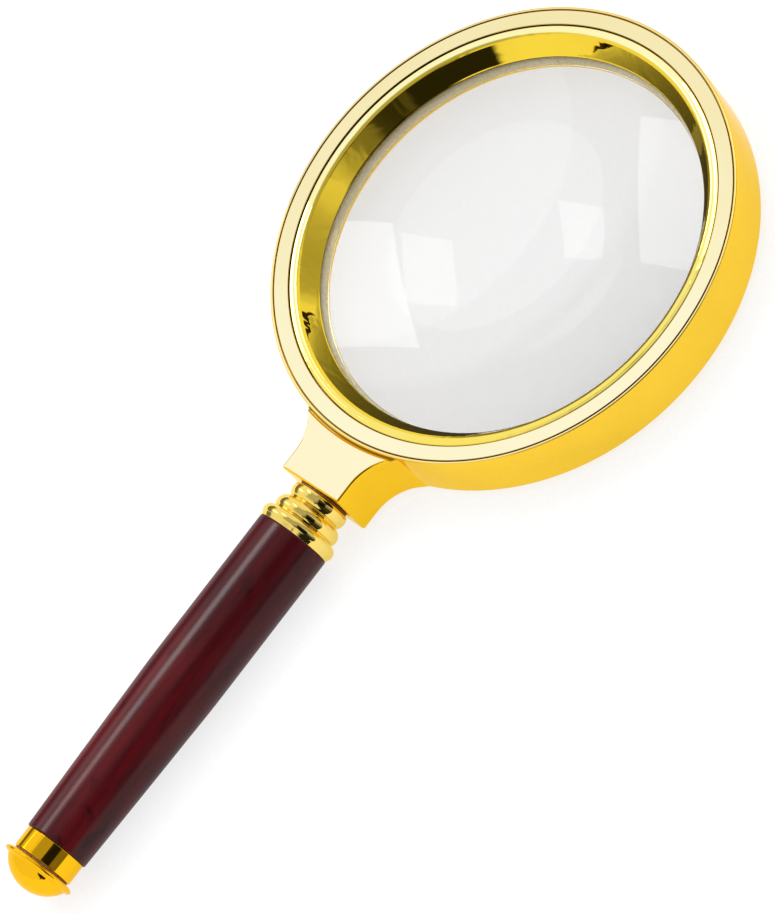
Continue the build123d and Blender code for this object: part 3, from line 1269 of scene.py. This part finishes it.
@dataclass
class Neck:
    """The flared block that joins rim and handle, with its threaded insert and slip washer."""

    datum: Datum
    lathe: Lathe
    finishes: Finishes
    rim: Rim
    end: float = 66.95
    half_width: float = 8.85
    flare: float = 11.6
    flare_reach: float = 10.6
    flare_start: float = 62.5
    top: float = 0.4
    thickness: float = 13.1
    rounding: float = 0.45
    saddle: float = 54.0
    groove_outer: float = 55.3
    groove_floor: float = 0.7
    insert: float = 4.0
    insert_start: float = 58.9
    rod: float = 2.5
    across: int = 20
    rows_along: int = 26
    rows_down: int = 10
    bends: int = 6
    straight_from: float = 63.0
    bend_span: float = 6.5
    tries: int = 40
    chamfer: float = 0.35

    def half_at(self, distance: float) -> float:
        """Returns the block's half width at a distance from the lens axis."""
        inward = min(max(self.flare_start - distance, 0.0), self.flare_reach)
        return self.half_width + self.flare - math.sqrt(self.flare**2 - inward**2)

    def bow(self, middle: float, x: float) -> float:
        """Bends a row of the block from the rim's circle at the saddle to straight at the end.

        Args:
            middle: the row's distance from the lens axis on the centre line.
            x: place across the block.

        Returns:
            The distance from the lens axis, along the handle, at that place.
        """
        share = min(1.0, max(0.0, (self.straight_from - middle) / self.bend_span))
        circle = math.sqrt(middle**2 - x**2)
        return middle - share * (middle - circle)

    def edge_at(self, middle: float) -> float:
        """Finds where a bent row meets the flared outline.

        Args:
            middle: the row's distance from the lens axis on the centre line.

        Returns:
            The half width there.
        """
        half = self.half_width
        for _ in range(self.tries):
            half = 0.5 * half + 0.5 * self.half_at(self.bow(middle, half))
        return half

    def rows(self) -> list[tuple[float, float, float]]:
        """Lists the rows of the block, from inside the rim to its end.

        Returns:
            Each row as (distance on the centre line, inset of its outline, depth of its front).
        """
        low = self.top + self.groove_floor
        rows = [
            (self.saddle, 0.0, low),
            (self.rim.outer + 0.05, 0.0, low),
            (self.groove_outer - 0.28, 0.0, low),
            (self.groove_outer - 0.2, 0.0, low - 0.04),
            (self.groove_outer - 0.12, 0.0, self.top + 0.12),
            (self.groove_outer - 0.05, 0.0, self.top + 0.03),
            (self.groove_outer + 0.05, 0.0, self.top),
            (self.groove_outer + 0.15, 0.0, self.top),
        ]
        first = self.groove_outer + 0.5
        last = self.end - self.rounding - 0.1
        for step in range(self.rows_along + 1):
            rows.append((first + (last - first) * step / self.rows_along, 0.0, self.top))
        for step in range(self.bends + 1):
            angle = math.pi / 2 * step / self.bends
            inset = self.rounding * (1 - math.cos(angle))
            rows.append((self.end - self.rounding * (1 - math.sin(angle)), inset, self.top + inset))
        return rows

    def loop(self, builder: bmesh.types.BMesh, row: tuple[float, float, float]) -> list[Any]:
        """Makes the closed loop of vertices round the block at one row.

        Args:
            builder: the mesh work.
            row: the row, as rows() gives it.

        Returns:
            The loop's vertices.
        """
        middle, inset, front = row
        half = self.edge_at(middle) - inset
        back = self.top + self.thickness - inset
        round_off = self.rounding
        flat = half - round_off
        high, low = front + round_off, back - round_off
        spread = [-1 + 2 * step / self.across for step in range(self.across + 1)]
        angles = [math.pi / 2 * step / self.bends for step in range(1, self.bends)]
        bends = [(round_off * math.sin(angle), round_off * math.cos(angle)) for angle in angles]
        sides = [high + (low - high) * step / self.rows_down for step in range(self.rows_down + 1)]
        places: list[Point] = [(flat * share, front) for share in spread]
        places += [(flat + sine, high - cosine) for sine, cosine in bends]
        places += [(half, depth) for depth in sides]
        places += [(flat + cosine, low + sine) for sine, cosine in bends]
        places += [(-flat * share, back) for share in spread]
        places += [(-flat - sine, low + cosine) for sine, cosine in bends]
        places += [(-half, depth) for depth in reversed(sides)]
        places += [(-flat - cosine, high - sine) for sine, cosine in bends]
        ring = []
        for x, depth in places:
            distance = self.bow(middle, x)
            spot = (x * MM, self.datum.rim_y - distance * MM, self.datum.front_z - depth * MM)
            ring.append(builder.verts.new(spot))
        return ring

    def build(self) -> None:
        """Builds the block, its insert and its washer."""
        builder = bmesh.new()
        loops = [self.loop(builder, row) for row in self.rows()]
        centre = Vector((0.0, self.datum.rim_y - self.end * MM, self.datum.handle_z))
        hole_rows = [
            (self.insert + 0.25, self.end),
            (self.insert + 0.2, self.end),
            (self.insert, self.end - 0.2),
            (self.insert, self.insert_start),
        ]
        for radius, along in hole_rows:
            ring = []
            for vertex in loops[-1]:
                spread = vertex.co - centre
                angle = math.atan2(spread.z, spread.x)
                ring.append(builder.verts.new(self.datum.place(Axis.HANDLE, radius, along, angle)))
            loops.append(ring)
        for near, far in zip(loops, loops[1:]):
            Lathe.bridge(builder, near, far)
        builder.faces.new(loops[0])
        builder.faces.new(list(reversed(loops[-1])))
        piece = mesh_object("neck_block_cast", builder, self.finishes.neck_gold)
        fit(piece, "neck_block", "rim")
        self.build_insert()
        self.build_washer()

    def build_insert(self) -> None:
        """Builds the threaded bush, chamfered at its mouth."""
        bore = self.rod + ROD_CLEARANCE
        mouth, foot = self.end - self.chamfer, self.insert_start + 0.2
        corners = [
            Corner(self.insert, self.insert_start, 0.1),
            Corner(self.insert, self.end, 0.1),
            Corner(bore + self.chamfer, self.end, 0.05),
            *run((bore, mouth), (bore, foot), ROD_PITCH / THREAD_ROWS),
            Corner(bore + 0.2, self.insert_start, 0.05),
        ]
        cut = Thread(ROD_PITCH, ROD_THREAD_DEPTH, foot, mouth, bore, inside=True)
        finish = self.finishes.steel
        piece = self.lathe.turn("neck_insert_threaded", Section(corners), finish, [cut.shape])
        fit(piece, "neck_insert", "rim")

    def build_washer(self) -> None:
        """Builds the slip washer under the ferrule."""
        bore = self.rod + ROD_CLEARANCE
        slip = self.finishes.slip
        plain_washer(self.lathe, "neck_washer", "neck_slip", bore, slip)


def plain_washer(
    lathe: Lathe,
    node: str,
    body: str,
    bore: float,
    finish: bpy.types.Material,
) -> None:
    """Builds a flat washer on the handle axis in its CAD node's place.

    Args:
        lathe: the handle's lathe.
        node: the CAD node.
        body: the CAD body that it moves with.
        bore: radius of its hole, in millimetres.
        finish: its material.
    """
    low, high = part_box(node)
    outer = (high.x - low.x) / 2 / MM
    start = (lathe.datum.rim_y - high.y) / MM
    end = (lathe.datum.rim_y - low.y) / MM
    corners = [
        Corner(bore, start, 0.05),
        Corner(outer, start, 0.08),
        Corner(outer, end, 0.08),
        Corner(bore, end, 0.05),
    ]
    piece = lathe.turn(f"{node}_cut", Section(corners, hold=0.03), finish)
    fit(piece, node, body)


@dataclass
class Ferrule:
    """The three beads between neck and grip, as circles that meet in coves."""

    lathe: Lathe
    finishes: Finishes
    start: float = 67.38
    crests: tuple[Point, ...] = ((6.785, 68.64), (7.77, 72.76), (9.029, 75.8))
    coves: tuple[Point, ...] = ((5.95, 70.6), (7.05, 74.2))
    edge: float = 76.46
    grip_start: float = 77.53
    grip: float = 8.5
    spigot: float = 4.5
    spigot_length: float = 5.5
    rod: float = 2.5
    rows: int = 18

    def bead(self, crest: Point, cove: Point, first: float, last: float) -> list[Corner]:
        """Rows over one bead.

        Args:
            crest: its highest point as (radius, along).
            cove: a cove that its circle passes through.
            first: where it starts along the handle.
            last: where it ends.

        Returns:
            The corners over the bead.
        """
        fall = crest[0] - cove[0]
        radius = ((cove[1] - crest[1]) ** 2 + fall**2) / (2 * fall)
        start = math.degrees(math.asin(max(-1.0, (first - crest[1]) / radius)))
        end = math.degrees(math.asin(min(1.0, (last - crest[1]) / radius)))
        return arc((crest[0] - radius, crest[1]), radius, start, end, self.rows)

    def build(self) -> None:
        """Builds the ferrule."""
        spigot_end = self.grip_start + self.spigot_length
        first = self.bead(self.crests[0], self.coves[0], self.start, self.coves[0][1])
        second = self.bead(self.crests[1], self.coves[0], self.coves[0][1], self.coves[1][1])
        third = self.bead(self.crests[2], self.coves[1], self.coves[1][1], self.edge)
        corners = [
            Corner(self.rod, self.start, 0.05),
            Corner(first[0].radius - 0.3, self.start, 0.05),
            *first[1:],
            *second[1:],
            *third[1:],
            Corner(self.grip + 0.3, self.edge + 0.15, 0.1),
            Corner(self.grip - 0.05, self.grip_start, 0.1),
            Corner(self.spigot, self.grip_start, 0.1),
            Corner(self.spigot, spigot_end, 0.2),
            Corner(self.rod, spigot_end, 0.05),
        ]
        piece = self.lathe.turn("ferrule_turned", Section(corners), self.finishes.bead_gold)
        fit(piece, "ferrule", "handle")


@dataclass
class Grip:
    """The turned grip: straight in front, then a slow taper to its end."""

    lathe: Lathe
    finishes: Finishes
    start: float = 77.53
    end: float = 159.35
    radius: float = 8.5
    end_radius: float = 7.45
    taper_start: float = 112.0
    taper_curved: float = 0.38
    taper_bow: float = 0.55
    taper_ease: float = 4.0
    rounding: float = 0.35
    bore: float = 2.7
    socket: float = 4.75
    socket_end: float = 88.0
    margin: float = 1.0
    rows: int = 70

    def radius_at(self, along: float) -> float:
        """Follows the grip's gentle taper.

        Args:
            along: distance from the lens axis.

        Returns:
            The radius there.
        """
        share = max(0.0, (along - self.taper_start) / (self.end - self.taper_start))
        curved = share * share * (1 + self.taper_bow - self.taper_bow * share)
        straight = share * min(1.0, share * self.taper_ease)
        fall = self.taper_curved * curved + (1 - self.taper_curved) * straight
        return self.radius - (self.radius - self.end_radius) * fall

    def build(self) -> bpy.types.Object:
        """Builds the grip.

        Returns:
            The new piece, which has its own lamp.
        """
        first = self.start + self.margin
        last = self.end - self.margin
        side = [first + (last - first) * step / self.rows for step in range(self.rows + 1)]
        corners = [
            Corner(self.bore, self.socket_end, 0.1),
            Corner(self.socket, self.socket_end, 0.1),
            Corner(self.socket, self.start, 0.1),
            Corner(self.radius, self.start, self.rounding),
            *[Corner(self.radius_at(along), along) for along in side],
            Corner(self.end_radius, self.end, self.rounding),
            Corner(self.bore, self.end, 0.1),
        ]
        piece = self.lathe.turn("grip_turned", Section(corners), self.finishes.wood)
        return fit(piece, "grip", "handle")


@dataclass
class Rod:
    """The tie rod and everything tightened on it."""

    lathe: Lathe
    finishes: Finishes
    radius: float = 2.5
    start: float = 59.4
    end: float = 168.6
    front_thread_end: float = 70.0
    rear_thread_start: float = 152.0
    flats: float = 8.0
    chamfer: float = 0.35
    row: float = 0.5
    point: float = 0.5

    def build(self) -> None:
        """Builds the rod, its nuts and its washers."""
        tip = self.radius - self.point
        first, last = self.start + self.point, self.end - self.point
        crest = self.radius
        front = Thread(ROD_PITCH, ROD_THREAD_DEPTH, first, self.front_thread_end, crest)
        rear = Thread(ROD_PITCH, ROD_THREAD_DEPTH, self.rear_thread_start, last, crest)
        corners = [
            Corner(0.0, self.start),
            Corner(tip, self.start, 0.05),
            *run((self.radius, front.start), (self.radius, front.end), ROD_PITCH / THREAD_ROWS),
            *run((self.radius, rear.start), (self.radius, rear.end), ROD_PITCH / THREAD_ROWS),
            Corner(tip, self.end, 0.05),
            Corner(0.0, self.end),
        ]
        piece = self.lathe.turn(
            "tie_rod_threaded",
            Section(corners, closed=False),
            self.finishes.steel,
            [front.shape, rear.shape],
        )
        fit(piece, "tie_rod", "handle")
        for node in ("ferrule_nut", "rod_nut"):
            self.build_nut(node)
        steel = self.finishes.steel
        plain_washer(self.lathe, "rod_washer", "handle", self.radius, steel)
        self.dress_spring_washer()

    def build_nut(self, node: str) -> None:
        """Builds a hexagon nut in its CAD node's place.

        Args:
            node: the CAD node.
        """
        low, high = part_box(node)
        start = (self.lathe.datum.rim_y - high.y) / MM
        end = (self.lathe.datum.rim_y - low.y) / MM
        corner = self.flats / 2 / math.cos(math.pi / 6)
        flat = self.flats / 2
        first, last = start + self.chamfer, end - self.chamfer
        corners = [
            Corner(self.radius, start, 0.05),
            Corner(flat, start, 0.03),
            *run((corner, first), (corner, last), self.row),
            Corner(flat, end, 0.03),
            Corner(self.radius, end, 0.05),
        ]
        hexagon = Hexagon(self.flats)
        finish = self.finishes.steel
        piece = self.lathe.turn(f"{node}_cut", Section(corners), finish, [hexagon.shape])
        fit(piece, node, "handle")

    def dress_spring_washer(self) -> None:
        """Gives the split washer, whose CAD shape is right, its steel finish."""
        washer = frame["nodes"]["spring_washer"]
        washer.data.materials.clear()
        washer.data.materials.append(self.finishes.steel)


@dataclass
class EndFitting:
    """The collar, washer and domed cap that close the grip."""

    lathe: Lathe
    finishes: Finishes
    collar: float = 7.115
    collar_start: float = 159.35
    collar_end: float = 164.3
    web: float = 1.2
    bore: float = 5.4
    rod: float = 2.5
    cap_start: float = 164.68
    neck: float = 7.0
    flange: float = 8.565
    flange_middle: float = 165.46
    flange_end: float = 166.24
    dome: float = 7.375
    tip: float = 170.6
    hollow: float = 5.2
    hollow_end: float = 165.7
    rod_end: float = 168.6
    rod_gap: float = 0.3
    loose: float = 0.1
    dome_rows: int = 30

    def build(self) -> None:
        """Builds the collar, the washer and the cap."""
        self.build_collar()
        slip = self.finishes.slip
        hole = self.bore + self.loose
        plain_washer(self.lathe, "cap_washer", "cap_slip", hole, slip)
        self.build_cap()

    def build_collar(self) -> None:
        """Builds the band below the grip."""
        web_end = self.collar_start + self.web
        hole = self.rod + self.loose
        corners = [
            Corner(hole, self.collar_start, 0.1),
            Corner(self.collar, self.collar_start, 0.22),
            Corner(self.collar, self.collar_end, 0.22),
            Corner(self.bore, self.collar_end, 0.1),
            Corner(self.bore, web_end, 0.2),
            Corner(hole, web_end, 0.1),
        ]
        piece = self.lathe.turn("end_collar_turned", Section(corners), self.finishes.cap_gold)
        fit(piece, "end_collar", "handle")

    def build_cap(self) -> None:
        """Builds the flange and the dome, hollow for the nut and threaded for the rod."""
        rise = self.tip - self.flange_end
        curve = (self.dome**2 + rise**2) / (2 * rise)
        half = math.degrees(math.asin(self.dome / curve))
        dome = arc((0.0, self.tip - curve), curve, 90.0 - half, 90.0, self.dome_rows)
        bore = self.rod + ROD_CLEARANCE
        blind = self.rod_end + self.rod_gap
        corners = [
            Corner(0.0, blind),
            Corner(bore, blind, 0.05),
            *run((bore, self.rod_end), (bore, self.hollow_end), ROD_PITCH / THREAD_ROWS),
            Corner(self.hollow, self.hollow_end, 0.1),
            Corner(self.hollow, self.cap_start, 0.1),
            Corner(self.neck, self.cap_start, 0.1),
            Corner(self.neck + 1.05, self.cap_start + 0.22, 1.2),
            Corner(self.flange, self.flange_middle, 0.28),
            Corner(self.dome + 0.75, self.flange_end - 0.16, 0.9),
            *dome[:-1],
            Corner(0.0, self.tip),
        ]
        start, end = self.hollow_end, self.rod_end
        cut = Thread(ROD_PITCH, ROD_THREAD_DEPTH, start, end, bore, inside=True)
        section = Section(corners, closed=False)
        piece = self.lathe.turn("end_cap_turned", section, self.finishes.cap_gold, [cut.shape])
        fit(piece, "end_cap", "cap")


# Studio -------------------------------------------------------------------------------------


def toward(azimuth: float, elevation: float) -> Vector:
    """Returns the unit vector at an azimuth from +X towards +Y and an elevation, in degrees."""
    across, up = math.radians(azimuth), math.radians(elevation)
    return Vector((math.cos(across) * math.cos(up), math.sin(across) * math.cos(up), math.sin(up)))


@dataclass(frozen=True)
class Softbox:
    """A bright panel of the studio, as the polished metal and the lens mirror it."""

    azimuth: float
    elevation: float
    half_width: float
    half_height: float
    brightness: float
    softness: float = 0.03
    lean: float = 0.0
    slant: float = 0.0

    def light(self, graph: Graph, direction: Any) -> Value:
        """Works out how bright the panel is in each direction.

        Args:
            graph: the world's graph.
            direction: the direction socket.

        Returns:
            Its brightness, 0 outside the panel.
        """
        middle = toward(self.azimuth, self.elevation)
        turn = Quaternion(middle, math.radians(-self.lean))
        right = turn @ Vector((0.0, 0.0, 1.0)).cross(middle).normalized()
        up = middle.cross(right)
        ahead = graph.vector("DOT_PRODUCT", direction, tuple(middle)).at_least(0.001)
        across = graph.vector("DOT_PRODUCT", direction, tuple(right)) / ahead
        over = graph.vector("DOT_PRODUCT", direction, tuple(up)) / ahead + across * self.slant
        wide = math.tan(math.radians(self.half_width))
        high = math.tan(math.radians(self.half_height))
        inside = abs(across).step(wide + self.softness, wide - self.softness)
        inside = inside * abs(over).step(high + self.softness, high - self.softness)
        return inside * ahead.step(0.0, 0.1) * self.brightness


@dataclass(frozen=True)
class Lamp:
    """A soft distant lamp."""

    name: str
    azimuth: float
    elevation: float
    strength: float
    spread: float
    shadow: bool = True

    def hang(self) -> bpy.types.Object:
        """Hangs the lamp.

        Returns:
            The new object, linked to the scene.
        """
        data = bpy.data.lights.new(self.name, "SUN")
        data.energy = self.strength
        data.angle = math.radians(self.spread)
        data.use_shadow = self.shadow
        holder = bpy.data.objects.new(self.name, data)
        holder.rotation_mode = "QUATERNION"
        away = -toward(self.azimuth, self.elevation)
        holder.rotation_quaternion = away.to_track_quat("-Z", "Y")
        bpy.context.scene.collection.objects.link(holder)
        return holder


@dataclass(frozen=True)
class Room:
    """The dim room round the table: how bright its walls are in each direction of the compass."""

    walls: tuple[tuple[float, float], ...] = (
        (-180.0, 1.0),
        (-68.0, 1.0),
        (-65.0, 0.02),
        (-25.0, 0.02),
        (-20.0, 0.08),
        (-14.0, 0.03),
        (-5.0, 0.05),
        (1.0, 0.19),
        (8.0, 0.25),
        (26.0, 0.82),
        (34.0, 0.76),
        (44.0, 0.54),
        (60.0, 0.43),
        (74.0, 0.50),
        (81.0, 0.95),
        (92.0, 1.0),
        (180.0, 1.0),
    )
    ceiling: float = 0.5
    wall_top: float = 0.86
    table: float = 1.0

    def light(self, graph: Graph, direction: Any) -> Value:
        """Works out how bright the room is in each direction.

        Args:
            graph: the world's graph.
            direction: the direction socket.

        Returns:
            The brightness of table, walls and ceiling.
        """
        parts = graph.node("ShaderNodeSeparateXYZ", {}, {0: direction}).outputs
        azimuth = graph.maths("ARCTAN2", parts["Y"], parts["X"])
        sway = (graph.noise(direction, 5.0, 3.0, 0.5) - 0.5) * 0.16
        place = (azimuth + sway) / math.tau + 0.5
        stops = [((angle + 180.0) / 360.0, (level,) * 3) for angle, level in self.walls]
        ramp = graph.node("ShaderNodeValToRGB", {"stops": stops}, {0: place})
        walls = Value(graph, ramp.outputs[0])
        height = Value(graph, parts["Z"])
        share = height.step(self.wall_top + 0.1, self.wall_top - 0.1)
        above = walls * share + self.ceiling * (1 - share)
        below = height.step(0.01, -0.01)
        return above * (1 - below) + self.table * below


@dataclass
class Studio:
    """A white table in a dark room with softboxes, and the camera."""

    datum: Datum
    grip: bpy.types.Object
    table_radius: float = 3.0
    table_glow: float = 0.74
    lamps: tuple[Lamp, ...] = (
        Lamp("key_lamp", 168.0, 58.0, 0.6, 50.0),
        Lamp("top_lamp", 60.0, 84.0, 0.6, 130.0),
        Lamp("fill_lamp", 60.0, 80.0, 1.5, 90.0, shadow=False),
    )
    gloss_lamp: Lamp = Lamp("gloss_lamp", 167.0, 60.0, 0.55, 16.0)
    room: Room = Room()
    softboxes: tuple[Softbox, ...] = (
        Softbox(169.0, 54.0, 30.0, 24.0, 1.0, softness=0.25),
        Softbox(182.4, 37.2, 5.4, 8.15, 3.1, softness=0.004, lean=33.5, slant=1.0),
        Softbox(137.0, 58.5, 5.6, 9.2, 3.1, softness=0.004, slant=0.55),
        Softbox(-57.0, 37.0, 8.0, 13.0, 1.0, softness=0.08),
    )
    flags: tuple[Softbox, ...] = (
        Softbox(4.0, 46.0, 20.0, 17.0, 0.93, softness=0.08),
        Softbox(176.0, 9.0, 28.0, 13.0, 0.8, softness=0.12),
    )
    azimuth: float = 79.70
    elevation: float = 51.07
    roll: float = -44.35
    distance: float = 2.176
    aim_across: float = 12.5
    aim_along: float = -53.2
    focal_length: float = 409.2

    def build(self) -> None:
        """Sets up table, lamps, world and camera."""
        self.build_table()
        self.build_lamps()
        self.build_world()
        self.build_camera()

    def build_table(self) -> None:
        """Builds the pale table top, lit from within so that shadows on it stay faint."""
        builder = bmesh.new()
        bmesh.ops.create_circle(builder, cap_ends=True, radius=self.table_radius, segments=96)
        material, graph = new_material("white_table")
        position = graph.node("ShaderNodeTexCoord").outputs["Object"]
        grain = graph.noise(position, 900.0, 3.0).step(0.3, 0.7)
        shader = graph.node(
            "ShaderNodeBsdfPrincipled",
            {},
            {
                "Base Color": graph.blend(grain, (0.23, 0.23, 0.23), (0.25, 0.25, 0.25)),
                "Roughness": 0.9,
                "Specular IOR Level": 0.0,
                "Emission Color": (1.0, 1.0, 1.0, 1.0),
                "Emission Strength": self.table_glow,
            },
        )
        graph.node("ShaderNodeOutputMaterial", {}, {"Surface": shader.outputs[0]})
        table = mesh_object("table_top", builder, material)

    def build_lamps(self) -> None:
        """Hangs the soft lamps for table and wood, which aren't mirrored, and the grip's own."""
        for lamp in self.lamps:
            lamp.hang().visible_glossy = False
        lit = bpy.data.collections.new("gloss_lamp_lights")
        lit.objects.link(self.grip)
        self.gloss_lamp.hang().light_linking.receiver_collection = lit

    def build_world(self) -> None:
        """Paints the room: white below the table's edge, dark above it, with the softboxes."""
        world = bpy.data.worlds.new("studio_room")
        world.use_nodes = True
        bpy.context.scene.world = world
        graph = Graph(world.node_tree)
        direction = graph.node("ShaderNodeTexCoord").outputs["Generated"]
        brightness = self.room.light(graph, direction)
        for softbox in self.softboxes:
            brightness = brightness.at_least(softbox.light(graph, direction))
        for flag in self.flags:
            brightness = brightness * (1 - flag.light(graph, direction))
        background = graph.node("ShaderNodeBackground", {}, {"Strength": brightness})
        background.inputs["Color"].default_value = (1.0, 1.0, 1.0, 1.0)
        graph.node("ShaderNodeOutputWorld", {}, {"Surface": background.outputs[0]})

    def build_camera(self) -> None:
        """Stands the camera off to the side of the handle, with the long lens that it needs."""
        turn, rise = math.radians(self.azimuth), math.radians(self.elevation)
        level_out = math.cos(rise)
        back = Vector((math.sin(turn) * level_out, -math.cos(turn) * level_out, math.sin(rise)))
        across, along = self.aim_across * MM, self.datum.rim_y + self.aim_along * MM
        aim = Vector((across, along, self.datum.front_z))
        data = bpy.data.cameras.new("camera")
        data.lens = self.focal_length
        data.sensor_fit = "AUTO"
        data.sensor_width = 36.0
        data.clip_start, data.clip_end = 0.05, 20.0
        camera = bpy.data.objects.new("camera", data)
        camera.location = aim + back * self.distance
        camera.rotation_mode = "QUATERNION"
        level = (-back).to_track_quat("-Z", "Y")
        camera.rotation_quaternion = level @ Quaternion((0.0, 0.0, 1.0), math.radians(self.roll))
        bpy.context.scene.collection.objects.link(camera)
        bpy.context.scene.camera = camera
        bpy.context.scene.view_settings.view_transform = "Standard"


def main() -> None:
    """Builds the magnifier piece by piece, then the studio round it."""
    logging.basicConfig(level=logging.INFO, format="%(name)s %(message)s")
    datum = Datum.from_joints(frame["joints"])
    finishes = Finishes.make(datum.front_z)
    lens_lathe = Lathe(datum, Axis.LENS, 288)
    handle_lathe = Lathe(datum, Axis.HANDLE, 96)
    lens = Lens(lens_lathe, finishes)
    lens.build()
    rim = Rim(lens_lathe, finishes)
    rim.build(lens)
    Neck(datum, handle_lathe, finishes, rim).build()
    Ferrule(handle_lathe, finishes).build()
    grip = Grip(handle_lathe, finishes).build()
    Rod(handle_lathe, finishes).build()
    EndFitting(handle_lathe, finishes).build()
    Studio(datum, grip).build()


if __name__ == "__main__":
    main()
